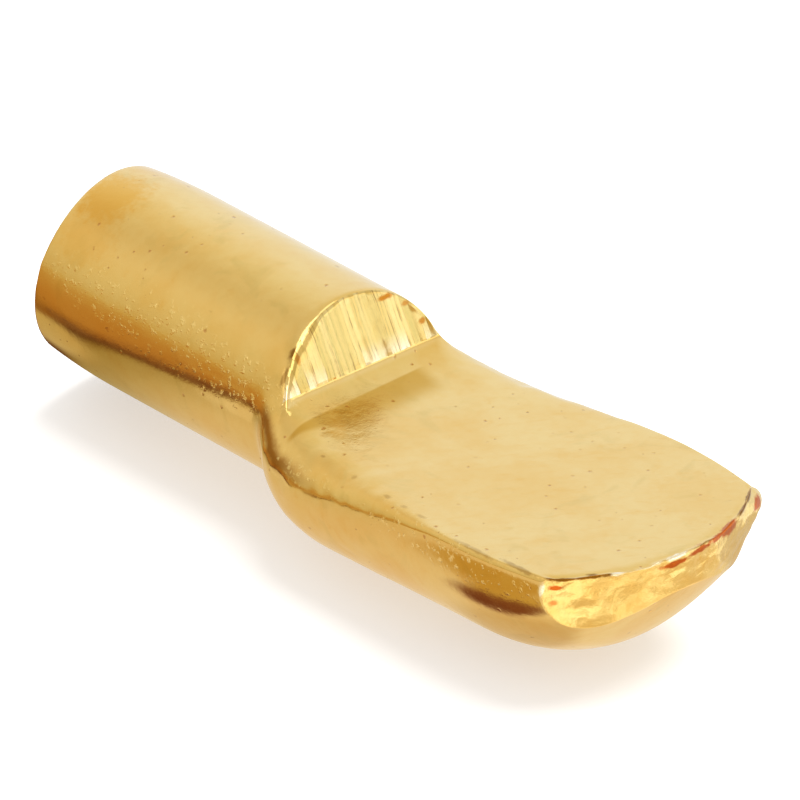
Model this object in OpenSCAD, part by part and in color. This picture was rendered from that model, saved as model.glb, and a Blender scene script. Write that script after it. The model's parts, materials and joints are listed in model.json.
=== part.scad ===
// Shelf support pin, cold formed from one piece of round wire.
// The barrel plugs into a shelf hole; the shelf rests on the blade's flat.
// Millimetres. +X runs along the pin to the blade's tip, +Z stands off the flat.
// The origin is on the barrel's axis, where it starts to swell into the blade.

/* [Barrel] */
// Diameter of the barrel that plugs into the hole
pin_d = 6.3; // [4.6:0.1:7]
// Length of the barrel on its axis, from the start of the swelling to the cropped end
barrel_len = 10; // [6:0.1:18]
// Distance from the cropped end at which the barrel starts to draw in
draw_in_len = 2.7; // [0.8:0.1:4]
// Radius of the drawn-in stretch, seen from the side
draw_in_r = 24; // [12:0.5:60]
// How far the cropped end is out of square, in degrees
crop_lean = 9.6; // [0:0.1:15]
// Direction of the cropped end's short side, in degrees from +Z towards -Y
crop_clock = 45; // [0:1:360]

/* [Shoulder] */
// Distance from the start of the swelling to the foot of the shoulder face
shoulder_x = 1.3; // [0.8:0.1:2]
// How far the sheared shoulder face leans back, in degrees
shoulder_lean = 17.2; // [5:0.1:30]
// Radius of the fillet between the shoulder face and the flat
root_fillet_r = 0.75; // [0.3:0.05:1.2]

/* [Blade] */
// Length from the start of the swelling to the blade's tip
blade_len = 14.9; // [12:0.1:21]
// Widest width of the blade
blade_w = 8.8; // [7.6:0.05:10]
// Depth of the belly below the barrel's axis
belly_depth = 3.92; // [3.6:0.02:4.6]
// Height of the flat above the barrel's axis, at its root
flat_z = 0.38; // [0.1:0.01:0.7]
// Rise of the flat towards the tip, in degrees
flat_rise = 1.9; // [0:0.1:3]
// Drop from the flat to the blade's widest line, beside the root
edge_roll_root = 0.5; // [0.3:0.01:0.7]
// Drop from the flat to the blade's widest line, beside the tip
edge_roll_tip = 0.16; // [0.08:0.01:0.3]
// Height above the widest line at which the swelled side meets the barrel
edge_swell = 1.5; // [0.9:0.05:1.8]

/* [Flare] */
// Length over which the barrel swells into the blade
flare_len = 3.4; // [2.5:0.1:5]
// How sharply the swelling starts
flare_ease = 2.4; // [2:0.1:3]

/* [Tip] */
// Radius of the trimmed tip in plan
tip_r = 5.7; // [5:0.1:8]
// Draft of the trimmed face, in degrees
trim_draft = 8.5; // [0:0.5:12]
// Distance from the tip at which the blade's sides start to turn in
side_turn_len = 5.1; // [3:0.1:7]
// Radius of the turned-in sides in plan
side_turn_r = 16; // [13:0.5:30]
// Distance from the tip at which the belly starts to turn up
belly_turn_len = 5.7; // [4:0.1:6]
// Radius of the turned-up belly, seen from the side
belly_turn_r = 6.55; // [6.3:0.05:9]

/* [Hidden] */
$fn = 96;
pin_r = pin_d / 2;
reach = 30;                     // longer than any cut has to be
bury = 0.02;                    // how far the swelled body starts inside the barrel's round
bury_x = 0.02;                  // how far it starts inside the barrel's length
ring_n = 82;                    // points round one section of the swelled body
flare_n = 18;                   // sections along the flare
body_n = 6;                     // sections along the blade's even stretch
turn_n = 20;                    // sections along the turned-up tip
rim_n = 8;                      // steps of the drawn-in stretch
core_r = pin_r - bury;
root_angle = 90 + shoulder_lean - flat_rise;
root_tangent = root_fillet_r / tan(root_angle / 2);
root_x = shoulder_x + root_tangent * sin(shoulder_lean);
side_turn_x = blade_len - side_turn_len;
belly_turn_x = blade_len - belly_turn_len;
body_end_x = blade_len + 0.1;
tip_centre_x = blade_len - tip_r;

function ease(t) = t <= 0 ? 0 : t >= 1 ? 1 : t * t * (3 - 2 * t);
function arc_drop(r, run) = run <= 0 ? 0 : r - sqrt(max(0, r * r - run * run));
function flat_at(x) = flat_z + (x - root_x) * tan(flat_rise);

// The share of the full swelling that is reached at x
function swell(x) = x >= flare_len ? 1 : 1 - pow(1 - x / flare_len, flare_ease);
function roll_at(x) =
    edge_roll_root
    + (edge_roll_tip - edge_roll_root) * ease((x - shoulder_x) / (side_turn_x - shoulder_x));
function widest_z(x) = (flat_at(x) - roll_at(x)) * max(0, swell(x));
function half_w(x) =
    core_r + (blade_w / 2 - core_r) * swell(x) - arc_drop(side_turn_r, x - side_turn_x);
function keel_z(x) =
    -core_r - (belly_depth - core_r) * swell(x) + arc_drop(belly_turn_r, x - belly_turn_x);

// A section below its widest line is half an ellipse
function belly_point(x, a) =
    [x, half_w(x) * cos(a), widest_z(x) + (widest_z(x) - keel_z(x)) * sin(a)];
// Above it, the swelled side rolls in to the barrel's round
function crown_point(x, a) =
    let (
        low = widest_z(x),
        z = low + (core_r - low) * sin(a),
        round_w = sqrt(max(0, core_r * core_r - z * z)),
        widening = half_w(x) / sqrt(core_r * core_r - low * low) - 1,
        share = 1 - ease((z - low) / edge_swell)
    )
    [x, (a < 90 ? 1 : -1) * round_w * (1 + widening * share), z];
function section(x) =
    [for (i = [0 : ring_n - 1])
        let (a = 360 * i / ring_n)
        a < 180 ? crown_point(x, a) : belly_point(x, a)];

// Stations run closest where the flare starts and where the tip turns up
stations = concat(
    [for (i = [0 : flare_n]) -bury_x + (flare_len + bury_x) * pow(i / flare_n, 1.4)],
    [for (i = [1 : body_n]) flare_len + (belly_turn_x - flare_len) * i / body_n],
    [for (i = [1 : turn_n]) belly_turn_x + (body_end_x - belly_turn_x) * sin(90 * i / turn_n)]
);

module loft(rings) {
    n = len(rings[0]);
    last = len(rings) - 1;
    polyhedron(
        points = [for (ring = rings) each ring],
        faces = concat(
            [[for (i = [0 : n - 1]) i]],
            [for (k = [0 : last - 1], i = [0 : n - 1])
                [k * n + i, (k + 1) * n + i, (k + 1) * n + (i + 1) % n, k * n + (i + 1) % n]],
            [[for (i = [n - 1 : -1 : 0]) last * n + i]]
        )
    );
}

// Round wire, drawn in at its end and cropped out of square
module barrel() {
    start_z = barrel_len - draw_in_len;
    drawn_len = draw_in_len + pin_r;
    drawn = [for (i = [0 : rim_n])
        let (run = drawn_len * i / rim_n)
        [pin_r - arc_drop(draw_in_r, run), start_z + run]];
    outline = concat([[0, 0], [pin_r, 0]], drawn, [[0, start_z + drawn_len]]);
    difference() {
        rotate([0, -90, 0]) rotate_extrude() polygon(outline);
        translate([-barrel_len, 0, 0])
            rotate([crop_clock, 0, 0])
                rotate([0, crop_lean, 0])
                    translate([-reach, -reach / 2, -reach / 2]) cube(reach);
    }
}

// The swelled body: flare, round belly and turned-up tip, before the cuts
module blade_body() {
    loft([for (x = stations) section(x)]);
}

// What the shearing punch takes away, above the flat and ahead of the shoulder face
module punch() {
    rotate([90, 0, 0])
        translate([0, 0, -reach / 2])
            linear_extrude(height = reach)
                difference() {
                    translate([root_x, flat_z])
                        polygon([
                            [0, 0],
                            [reach * cos(flat_rise), reach * sin(flat_rise)],
                            [reach, reach],
                            [-reach * sin(shoulder_lean), reach * cos(shoulder_lean)]
                        ]);
                    root_fillet();
                }
}

// The metal that the fillet leaves in the corner of the punch
module root_fillet() {
    spread = root_fillet_r / sin(root_angle / 2);
    middle = (90 + shoulder_lean + flat_rise) / 2;
    centre = [root_x + spread * cos(middle), flat_z + spread * sin(middle)];
    difference() {
        translate([root_x, flat_z])
            polygon([
                [0, 0],
                root_tangent * [cos(flat_rise), sin(flat_rise)],
                centre - [root_x, flat_z],
                root_tangent * [-sin(shoulder_lean), cos(shoulder_lean)]
            ]);
        translate(centre) circle(r = root_fillet_r);
    }
}

// What the trimming die takes away round the tip
module tip_trim() {
    top_z = flat_at(blade_len);
    difference() {
        translate([tip_centre_x, -reach / 2, -reach / 2]) cube(reach);
        translate([tip_centre_x, 0, top_z - pin_d])
            cylinder(
                r1 = tip_r - pin_d * tan(trim_draft),
                r2 = tip_r + pin_d * tan(trim_draft),
                h = 2 * pin_d
            );
    }
}

module shelf_pin() {
    color("goldenrod")
        difference() {
            union() {
                barrel();
                blade_body();
            }
            punch();
            tip_trim();
        }
}

shelf_pin();
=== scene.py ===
"""Shelf support pin in brass plated steel: the cold-formed piece, its finish and a plain studio."""

import json
import math

import bpy
import numpy as np
from bpy.props import FloatProperty, FloatVectorProperty, IntProperty, PointerProperty
from mathutils import Matrix, Vector


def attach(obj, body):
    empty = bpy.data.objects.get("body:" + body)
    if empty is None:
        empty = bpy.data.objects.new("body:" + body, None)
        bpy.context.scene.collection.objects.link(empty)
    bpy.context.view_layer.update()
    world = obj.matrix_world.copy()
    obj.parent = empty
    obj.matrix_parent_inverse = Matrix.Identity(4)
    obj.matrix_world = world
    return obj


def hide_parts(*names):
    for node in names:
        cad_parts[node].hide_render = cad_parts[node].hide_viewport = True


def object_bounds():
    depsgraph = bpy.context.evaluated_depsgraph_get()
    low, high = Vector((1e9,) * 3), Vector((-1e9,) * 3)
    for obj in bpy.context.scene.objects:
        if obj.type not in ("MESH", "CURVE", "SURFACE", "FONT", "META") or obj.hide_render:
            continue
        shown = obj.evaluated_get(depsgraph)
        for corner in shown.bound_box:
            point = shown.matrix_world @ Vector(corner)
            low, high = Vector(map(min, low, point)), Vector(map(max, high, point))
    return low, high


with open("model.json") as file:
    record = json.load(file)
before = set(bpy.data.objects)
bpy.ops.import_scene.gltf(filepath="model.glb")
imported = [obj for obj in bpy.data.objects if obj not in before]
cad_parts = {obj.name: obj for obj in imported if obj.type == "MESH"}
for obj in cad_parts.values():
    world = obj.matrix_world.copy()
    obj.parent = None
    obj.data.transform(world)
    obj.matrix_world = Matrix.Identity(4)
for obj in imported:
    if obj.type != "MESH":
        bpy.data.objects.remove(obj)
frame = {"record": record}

bl_info = {
    "name": "Shelf Support Pin",
    "version": (1, 0, 0),
    "blender": (4, 5, 0),
    "location": "3D View > Sidebar > Shelf Pin",
    "description": "Builds a coined shelf support pin, its brass plating and a studio for it",
    "category": "Object",
}

MM = 0.001
RECORD = frame["record"]
BARREL_MOUNT = next(m for m in RECORD["mounts"] if m["name"] == "barrel")
CAD_LOW, CAD_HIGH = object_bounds()


def length(name, description, millimetres):
    """A property that holds a length, with its default given in millimetres."""
    return FloatProperty(
        name=name, description=description, default=millimetres * MM,
        min=0.0, unit="LENGTH", precision=5,
    )


def angle(name, description, degrees):
    return FloatProperty(
        name=name, description=description, default=math.radians(degrees),
        unit="ROTATION",
    )


def colour(name, description, rgb):
    return FloatVectorProperty(
        name=name, description=description, default=rgb, size=3,
        subtype="COLOR", min=0.0, max=4.0,
    )


def share(name, description, value):
    return FloatProperty(
        name=name, description=description, default=value, min=0.0, max=4.0,
        subtype="FACTOR",
    )


# Sizes and colours


class PinSizes(bpy.types.PropertyGroup):
    """Sizes of the formed pin, before its wear"""

    pin_r: length("Barrel radius", "Radius of the round wire", BARREL_MOUNT["dims"]["r_mm"])
    barrel_len: length("Barrel length", "From the swelling back to the cropped end's middle", 10)
    draw_in_len: length("Draw-in", "Length over which the end is drawn in", 2.7)
    draw_in_r: length("Draw-in radius", "Radius of the drawn-in end, seen from the side", 24)
    crop_lean: angle("Crop lean", "How far the cropped end is out of square", 9.6)
    crop_clock: angle("Crop clock", "Direction of the end's short side, from +Z towards -Y", 45)
    shoulder_x: length("Shoulder", "From the swelling to the foot of the shoulder face", 1.3)
    shoulder_lean: angle("Shoulder lean", "How far the shoulder face leans back", 17.2)
    sharp_fillet_r: length("Root corner", "Fillet that places the root against the shoulder", 0.75)
    root_fillet_r: length("Root fillet", "Radius between shoulder face and flat", 0.32)
    root_run_h: length("Root run-out", "How far the flat runs up to the fillet", 0.46)
    root_run_len: length("Run-out length", "Length over which the run-out fades", 1.2)
    blade_len: length("Blade length", "From the swelling to the tip", CAD_HIGH.x / MM)
    blade_w: length("Blade width", "Width across the belly", (CAD_HIGH.y - CAD_LOW.y) / MM)
    belly_depth: length("Belly depth", "From the axis down to the keel", -CAD_LOW.z / MM)
    flat_z: length("Flat height", "Height of the flat at its root", 0.38)
    flat_rise: angle("Flat rise", "How much the flat climbs towards the tip", 1.9)
    edge_roll_root: length("Root roll", "Depth of the rolled edge at the root", 0.9)
    roll_hold_x: length("Roll hold", "From the swelling to where the root's roll fades", 3.0)
    edge_roll_tip: length("Tip roll", "Depth of the rolled edge at the tip", 0.16)
    edge_swell: length("Edge swell", "Height over which the swelling fades upwards", 1.5)
    flare_len: length("Flare length", "From the swelling to the full width", 3.4)
    flare_start: length("Flare start", "How late the swelling starts", 0.35)
    crease_len: length("Crease", "Half length over which the flare's crease is rounded", 0.3)
    flare_ease: FloatProperty(
        name="Flare ease", description="Power of the flare's curve", default=2.4)
    tip_r: length("Tip radius", "Radius of the trimmed tip, seen from above", 5.7)
    trim_draft: angle("Trim draft", "Draft of the trimmed face", 8.5)
    side_turn_len: length("Side turn", "Length of the sides' inward turn", 5.1)
    side_turn_r: length("Side turn radius", "Radius of the sides' inward turn", 16)
    belly_turn_len: length("Belly turn", "Length of the belly's upward turn", 5.7)
    belly_turn_r: length("Belly turn radius", "Radius of the belly's upward turn", 6.55)
    tip_lift: length("Tip lift", "Extra lift of the belly under the trimmed face", 0.5)
    tip_lift_len: length("Tip lift length", "Length over which that lift comes in", 2.0)


class PinWear(bpy.types.PropertyGroup):
    """Softened rims, tears and burrs of the pin"""

    root_softness: length("Root softness", "Spread of the flat's rolled edge at the root", 0.42)
    tip_softness: length("Tip softness", "Spread of the flat's rolled edge at the tip", 0.045)
    rim_softness: length("Rim softness", "Spread of the shoulder's rim", 0.075)
    trim_softness: length("Trim softness", "Spread of the trimmed edges", 0.03)
    crop_softness: length("Crop softness", "Spread of the cropped end's edge", 0.09)
    broach_depth: length("Broach marks", "Depth of the lines down the shoulder face", 0.022)
    tear_depth: length("Trim tears", "Depth of the trimmed face's torn skin", 0.036)
    crop_tear_depth: length("Crop tears", "Depth of the cropped end's torn skin", 0.06)
    rim_raggedness: length("Rim raggedness", "How far the shoulder's rim wanders", 0.05)
    corner_burr: length("Corner burr", "How far the trimmed corner is dragged out", 0.36)
    burr_height: length("Burr", "Height of the burr along the trimmed edge", 0.11)
    edge_dip: length("Edge dip", "How far the flat rolls down behind the burr", 0.06)
    seed: IntProperty(name="Seed", description="Picks the wear's random pattern", default=7)


class PinFinish(bpy.types.PropertyGroup):
    """Colours and roughness of the plating, its stains, and the shade, highlights and reflection
    painted on it
    """

    brass: colour("Brass", "Plating where it is clean", (0.855, 0.652, 0.27))
    ochre: colour("Ochre", "Plating where it is thicker and warmer", (0.80, 0.49, 0.11))
    tarnish: colour("Tarnish", "Plating gone red-brown", (0.42, 0.13, 0.03))
    rust: colour("Rust", "Steel showing through as rust", (0.54, 0.12, 0.014))
    # Painted shade along the near side's rolled edge, beside the shoulder's near rim and under the
    # trimmed edge; it also darkens the joints of the shoulder face's broach lines
    shade: colour("Shade", "Dirt in the rolled-under edge", (0.23, 0.095, 0.008))
    # Painted shade: a dark line in the neck's crease, where the brass mirrors a dark band
    painted_neck_shade: colour("Neck", "Dirt in the crease of the neck", (0.30, 0.115, 0.008))
    # Painted sparkle: a light colour laid on the skin's grains where they should glint
    glitter: colour("Glitter", "Grains of the skin that glitter", (1.0, 0.84, 0.42))
    # Painted reflection: the shoulder face as the flat mirrors it beside the root
    root_reflection_colour: colour("Root", "Plating thick and warm beside the root", (0.62, 0.37, 0.05))
    # Painted highlight: a near-white colour laid on the trimmed edge and its corners, and on the
    # shoulder face's shiny strips near its foot
    painted_highlight: colour("Worn", "Plating rubbed bright", (0.98, 0.92, 0.74))
    face_rust: colour("Face rust", "Thin rust on the shoulder face", (0.52, 0.20, 0.018))
    # On the skin this is tone that drifts at random; on the shoulder face it is painted shade in
    # bands across the broach strips
    olive: colour("Olive", "Plating where it is thinner and duller", (0.66, 0.50, 0.17))
    skin_roughness: share("Skin roughness", "Roughness of the drawn skin", 0.13)
    sheared_roughness: share("Sheared roughness", "Roughness of the shoulder face", 0.14)
    torn_roughness: share("Torn roughness", "Roughness of the trimmed face", 0.2)


class PinStudio(bpy.types.PropertyGroup):
    """Floor and camera"""

    floor_colour: colour("Floor", "Colour of the floor", (0.62, 0.615, 0.61))
    floor_r: length("Floor radius", "Radius of the floor", 900)
    floor_glow: share("Floor glow", "Light the floor gives of itself, which lifts the shadow", 0.45)
    lens: length("Lens", "Focal length of the camera", 540)
    camera_at: FloatVectorProperty(
        name="Camera", description="Where the camera stands", size=3, unit="LENGTH",
        default=(0.22377, -0.20230, 0.16811),
    )
    camera_azimuth: angle("Azimuth", "Compass direction the camera looks along", 137.5158)
    camera_fall: angle("Fall", "How far the camera looks down", 29.209)
    camera_roll: angle("Roll", "Turn of the camera about its own axis", 0.473)


# Lines of the formed pin, in millimetres

# Steps from the flare's start, in shares of the crease's half length, that round the crease
CREASE_STEPS = (-1, -0.67, -0.33, 0, 0.33, 0.67, 1)
# Turns of the search for the place of the root fillet
HALVINGS = 40


def ease(t):
    t = np.clip(t, 0, 1)
    return t * t * (3 - 2 * t)


def arc_drop(radius, run):
    run = np.maximum(run, 0)
    return radius - np.sqrt(np.maximum(0, radius * radius - run * run))


class PinForm:
    """The pin's section at any place along it, worked out from its sizes."""

    def __init__(self, sizes):
        for name, annotation in PinSizes.__annotations__.items():
            scale = MM if annotation.keywords.get("unit") == "LENGTH" else 1
            setattr(self, name, getattr(sizes, name) / scale)
        self.lean_slope = math.tan(self.shoulder_lean)
        self.tip_centre_x = self.blade_len - self.tip_r
        self.set_root()

    def set_root(self):
        """Fits the root fillet between the shoulder face and the flat's run-out."""
        tilt = math.pi / 4 + (self.shoulder_lean - self.flat_rise) / 2
        reach = self.sharp_fillet_r / math.tan(tilt)
        self.root_x = self.shoulder_x + reach * math.sin(self.shoulder_lean)
        face_x = self.root_x + self.flat_z * self.lean_slope
        face_normal = np.array([math.cos(self.shoulder_lean), math.sin(self.shoulder_lean)])
        near, far = self.root_x, self.root_x + 4 * self.root_fillet_r
        for _ in range(HALVINGS):
            end = (near + far) / 2
            tilt = math.atan(self.top_slope(end))
            centre = np.array([end, self.top_at(end)])
            centre += self.root_fillet_r * np.array([-math.sin(tilt), math.cos(tilt)])
            gap = (centre - np.array([face_x, 0])) @ face_normal
            near, far = (near, end) if gap > self.root_fillet_r else (end, far)
        self.fillet_centre = centre
        self.fillet_end_tilt = tilt
        foot = centre - self.root_fillet_r * face_normal
        self.shoulder_x, self.foot_z = foot

    def flat_at(self, x):
        return self.flat_z + (x - self.root_x) * math.tan(self.flat_rise)

    def top_at(self, x):
        """The flat with the run-out that lifts it towards the root fillet."""
        return self.flat_at(x) + self.root_run_h * np.exp((self.root_x - x) / self.root_run_len)

    def top_slope(self, x, step=1e-4):
        return (self.top_at(x + step) - self.top_at(x - step)) / (2 * step)

    def swell(self, x):
        """Share of the full swelling at x; the crease where it starts is a little rounded."""
        total = 0
        for step in CREASE_STEPS:
            start = self.flare_start + step * self.crease_len
            left = np.clip(1 - (x - start) / (self.flare_len - start), 0, 1)
            total = total + (1 - left ** self.flare_ease) / len(CREASE_STEPS)
        return total

    def roll_at(self, x):
        turn_x = self.blade_len - self.side_turn_len
        along = (x - self.roll_hold_x) / (turn_x - self.roll_hold_x)
        return self.edge_roll_root + (self.edge_roll_tip - self.edge_roll_root) * ease(along)

    def round_r(self, x):
        """Radius of the round wire, which is drawn in towards the cropped end."""
        return self.pin_r - arc_drop(self.draw_in_r, self.draw_in_len - self.barrel_len - x)

    def widest_z(self, x):
        return (self.flat_at(x) - self.roll_at(x)) * self.swell(x)

    def half_w(self, x):
        turned = arc_drop(self.side_turn_r, x - self.blade_len + self.side_turn_len)
        r = self.round_r(x)
        return r + (self.blade_w / 2 - r) * self.swell(x) - turned

    def keel_z(self, x):
        turned = arc_drop(self.belly_turn_r, x - self.blade_len + self.belly_turn_len)
        lifted = self.tip_lift * ease((x - self.blade_len) / self.tip_lift_len + 1)
        r = self.round_r(x)
        return -r - (self.belly_depth - r) * self.swell(x) + turned + lifted

    def crown_y(self, x, z):
        """Half width above the widest line, where the swelling fades into the round."""
        r = self.round_r(x)
        low = self.widest_z(x)
        round_w = np.sqrt(np.maximum(0, r * r - z * z))
        widening = self.half_w(x) / np.sqrt(r * r - low * low) - 1
        return round_w * (1 + widening * (1 - ease((z - low) / self.edge_swell)))

    def trim_x(self, y, z):
        """The trimming die's drafted face."""
        r = self.tip_r + (z - self.flat_at(self.blade_len)) * math.tan(self.trim_draft)
        return self.tip_centre_x + np.sqrt(np.maximum(0, r * r - y * y))

    def ring_x(self, station, way, y, z):
        """A ring turns from the cropped end's plane to the shoulder's as way goes from 0 to 1."""
        crop = math.tan(self.crop_lean) * (
            math.sin(self.crop_clock) * y - math.cos(self.crop_clock) * z
        )
        lean = self.lean_slope * np.maximum(0, z - self.foot_z)
        return station - (1 - way) * crop - way * lean


# Grids of the pin's surface, in millimetres: each is (rows, columns, 3)

COLUMNS = 144
ROLL_COLUMNS = 12
BARREL_ROWS = 112
FACE_ROWS = 40
FILLET_ROWS = 10
BLADE_ROWS = 128
TRIM_ROWS = 22
CROP_ROWS = 30
# Power that draws the blade's rows together towards the tip
TIP_CROWDING = 1.25
# Turns of the loops that settle rows on the leaning ends, and on the tip's top and belly edges
SETTLE_TURNS = 8
TIP_TOP_TURNS = 32
TIP_BELLY_TURNS = 64
# How far behind the tip that search starts
TIP_START = 1


def barrel_grids(form):
    """Top and belly of the barrel, from its cropped end to the shoulder."""
    way = np.linspace(0, 1, BARREL_ROWS + 1)[:, None]
    station = -form.barrel_len + (form.shoulder_x + form.barrel_len) * way
    across = np.linspace(0, 1, COLUMNS + 1)[None, :]

    x = station + 0 * across
    for _ in range(SETTLE_TURNS):
        low, r = form.widest_z(x), form.round_r(x)
        start = np.arcsin((form.foot_z - low) / (r - low))
        turn = start + (math.pi - 2 * start) * across
        z = low + (r - low) * np.sin(turn)
        y = form.crown_y(x, z) * np.sign(np.round(np.cos(turn), 9))
        x = form.ring_x(station, way, y, z)
    top = np.stack([x, y, z], axis=-1)

    x = station + 0 * across
    for _ in range(SETTLE_TURNS):
        y, z = belly_section(form, x, form.foot_z)
        x = form.ring_x(station, way, y, z)
    return top, np.stack([x, y, z], axis=-1)


def belly_section(form, x, split_z):
    """The section below split_z from -Y round to +Y, for x and split_z of shape (rows, columns)."""
    low, keel, wide = form.widest_z(x), form.keel_z(x), form.half_w(x)
    column = np.arange(COLUMNS + 1)[None, :]
    side = np.minimum(column, COLUMNS - column) / ROLL_COLUMNS
    round_share = (column - ROLL_COLUMNS) / (COLUMNS - 2 * ROLL_COLUMNS)
    turn = math.pi * (1 + round_share)
    on_side = side < 1
    hand = np.where(column < COLUMNS / 2, -1, 1)
    side_z = split_z + (low - split_z) * side
    y = np.where(on_side, hand * form.crown_y(x, side_z), wide * np.cos(turn))
    z = np.where(on_side, side_z, low + (low - keel) * np.sin(turn))
    return y, z


def face_spread(form):
    """Where each column stands across the shoulder's foot: 1 is the far side, -1 the near one."""
    low = form.widest_z(form.shoulder_x)
    start = math.asin((form.foot_z - low) / (form.pin_r - low))
    turn = start + (math.pi - 2 * start) * np.linspace(0, 1, COLUMNS + 1)
    return np.cos(turn) / math.cos(start)


def fillet_line(form):
    """The root fillet's x and z, from the shoulder's foot to the flat's run-out."""
    first = math.pi + form.shoulder_lean
    last = 1.5 * math.pi + form.fillet_end_tilt
    turn = np.linspace(first, last, FILLET_ROWS + 1)
    return (
        form.fillet_centre[0] + form.root_fillet_r * np.cos(turn),
        form.fillet_centre[1] + form.root_fillet_r * np.sin(turn),
    )


def blade_grids(form):
    """Top and belly of the blade: the root fillet, then rows that bend to the tip's arc."""
    spread = face_spread(form)[None, :]
    fillet_x, fillet_z = fillet_line(form)
    x = fillet_x[:, None] + 0 * spread
    z = fillet_z[:, None] + 0 * spread
    fillet_top = np.stack([x, form.crown_y(x, z) * spread, z], axis=-1)
    y, low_z = belly_section(form, x, z)
    fillet_belly = np.stack([x, y, low_z], axis=-1)

    way = 1 - (1 - np.linspace(0, 1, BLADE_ROWS + 1)[1:, None]) ** TIP_CROWDING
    flat_x = fillet_x[-1]
    end = np.full_like(spread, form.blade_len - TIP_START)
    for _ in range(TIP_TOP_TURNS):
        end = form.trim_x(form.crown_y(end, form.top_at(end)) * spread, form.top_at(end))
    x = flat_x + way * (end - flat_x)
    z = form.top_at(x)
    flat_top = np.stack([x, form.crown_y(x, z) * spread, z], axis=-1)

    end = np.full_like(spread, form.blade_len - TIP_START)
    for _ in range(TIP_BELLY_TURNS):
        y, low_z = belly_section(form, end, form.top_at(end))
        end = 0.5 * (end + form.trim_x(y, low_z))
    x = flat_x + way * (end - flat_x)
    y, low_z = belly_section(form, x, form.top_at(x))
    flat_belly = np.stack([x, y, low_z], axis=-1)
    return np.concatenate([fillet_top, flat_top]), np.concatenate([fillet_belly, flat_belly])


def lens_grid(upper, lower, rows):
    """Rows between two lines that meet at both their ends."""
    way = np.linspace(0, 1, rows + 1)[:, None, None]
    return upper[None] * (1 - way) + lower[None] * way


# Wear that has real depth: its cells and reaches are in millimetres

NOISE_SIZE = 32
# The flat's long edges: where they start to crisp up and where they are crisp
EDGE_CRISPS = (4.5, 10.5)
EDGE_CELL = 0.6
EDGE_RAGGEDNESS = 0.22
# The shoulder's rim, which is rolled wider on the near side
RIM_CELL = 0.9
RIM_REACH = 0.22
RIM_TAPER = 2.5
NEAR_RIM_WIDENING = 2.4
NEAR_RIM_FROM = 2.5
LEAST_SPREAD = 0.004
# The broach lines, which lean across the shoulder face and change slowly down it
BROACH_LEAN = math.radians(9)
BROACH_DRIFT = 0.05
BROACH_FINE = (0.17, 1, 1)
BROACH_BROAD = (0.62, 1, 1)
BROACH_STEP = (0.4, 1, 1)
BROACH_STEPS = 3
BROACH_FADE = 0.12
# The torn faces, with the corner that the die dragged out
SWIRL_CELL = (0.6, 0.5, 0.34)
CROP_CELL = (1, 0.7, 0.5)
DRAG_DEPTH = 0.5
DRAG_WIDTH = 1.1
DRAG_CURVE = 1.3
# The burr and the dip behind it
BURR_CELL = 0.7
BURR_REACH = 0.085
DIP_CELL = 1.1
DIP_REACH = 0.24
# What each kind of wear adds to the seed, for a random pattern of its own
BROACH_SEEDS = (11, 15, 21)
SWIRL_SEED = 31
CROP_SEED = 41
BURR_SEED = 51
DIP_SEED = 57
EDGE_SEED = 61


def from_ends(columns):
    """0 at both ends of a grid's row, easing to 1 over a number of columns."""
    column = np.arange(COLUMNS + 1)
    return ease(np.minimum(column, COLUMNS - column) / columns)


def inside(grid, power):
    """0 along a torn face's two edges, rising to 1 in its middle."""
    return np.sin(math.pi * np.linspace(0, 1, len(grid)))[:, None] ** power


def value_noise(points, cell, seed):
    """Smooth noise from -1 to 1 at (..., 3) points; a cell is one random value's width."""
    table = np.random.default_rng(seed).uniform(-1, 1, (NOISE_SIZE, NOISE_SIZE, NOISE_SIZE))
    place = points / np.asarray(cell)
    base = np.floor(place).astype(np.int64)
    t = ease(place - base)
    total = np.zeros(points.shape[:-1])
    for corner in np.ndindex(2, 2, 2):
        weight = np.prod(np.where(corner, t, 1 - t), axis=-1)
        spot = (base + corner) % NOISE_SIZE
        total += weight * table[spot[..., 0], spot[..., 1], spot[..., 2]]
    return total


def fractal_noise(points, cell, seed, octaves=3):
    """Value noise with finer noise of half the size and strength over it, again and again."""
    total = 0
    for k in range(octaves):
        total = total + value_noise(points, np.asarray(cell) / 2 ** k, seed + k) / 2 ** k
    return total


def soften(loop, spread):
    """Gaussian average of a closed line by its own length; spread is given at each point."""
    step = np.linalg.norm(np.roll(loop, -1, axis=0) - loop, axis=1)
    place = np.concatenate([[0], np.cumsum(step)[:-1]])
    total = step.sum()
    weight_len = (step + np.roll(step, 1)) / 2
    moved = spread > 1e-4
    gap = np.abs(place[moved, None] - place[None, :])
    gap = np.minimum(gap, total - gap)
    weight = np.exp(-0.5 * (gap / spread[moved, None]) ** 2) * weight_len
    result = loop.copy()
    result[moved] = weight @ loop / weight.sum(axis=1, keepdims=True)
    return result


def soften_edges(wear, grids):
    """Rolls the flat's two long edges, softest at the root and nearly crisp at the tip."""
    top, belly = grids["blade_top"], grids["blade_belly"]
    for row in range(len(top)):
        loop = np.concatenate([top[row], belly[row][1:-1]])
        along = ease((top[row, 0, 0] - EDGE_CRISPS[0]) / (EDGE_CRISPS[1] - EDGE_CRISPS[0]))
        spread = wear.root_softness + (wear.tip_softness - wear.root_softness) * along
        begun = ease((row + 1) / (2 * FILLET_ROWS))
        shake = fractal_noise(loop, EDGE_CELL, wear.seed + EDGE_SEED, 2)
        ragged = np.clip(1 + EDGE_RAGGEDNESS * shake, 0.3, 2)
        loop = soften(loop, spread / MM * begun * ragged)
        top[row] = loop[:COLUMNS + 1]
        belly[row] = np.concatenate([loop[COLUMNS:], loop[:1]])


def bump(distance, spread):
    """The spread to give at a distance from an edge, so that softening fades away from it."""
    return spread * np.exp(-0.5 * (distance / (RIM_TAPER * spread)) ** 2)


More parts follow.
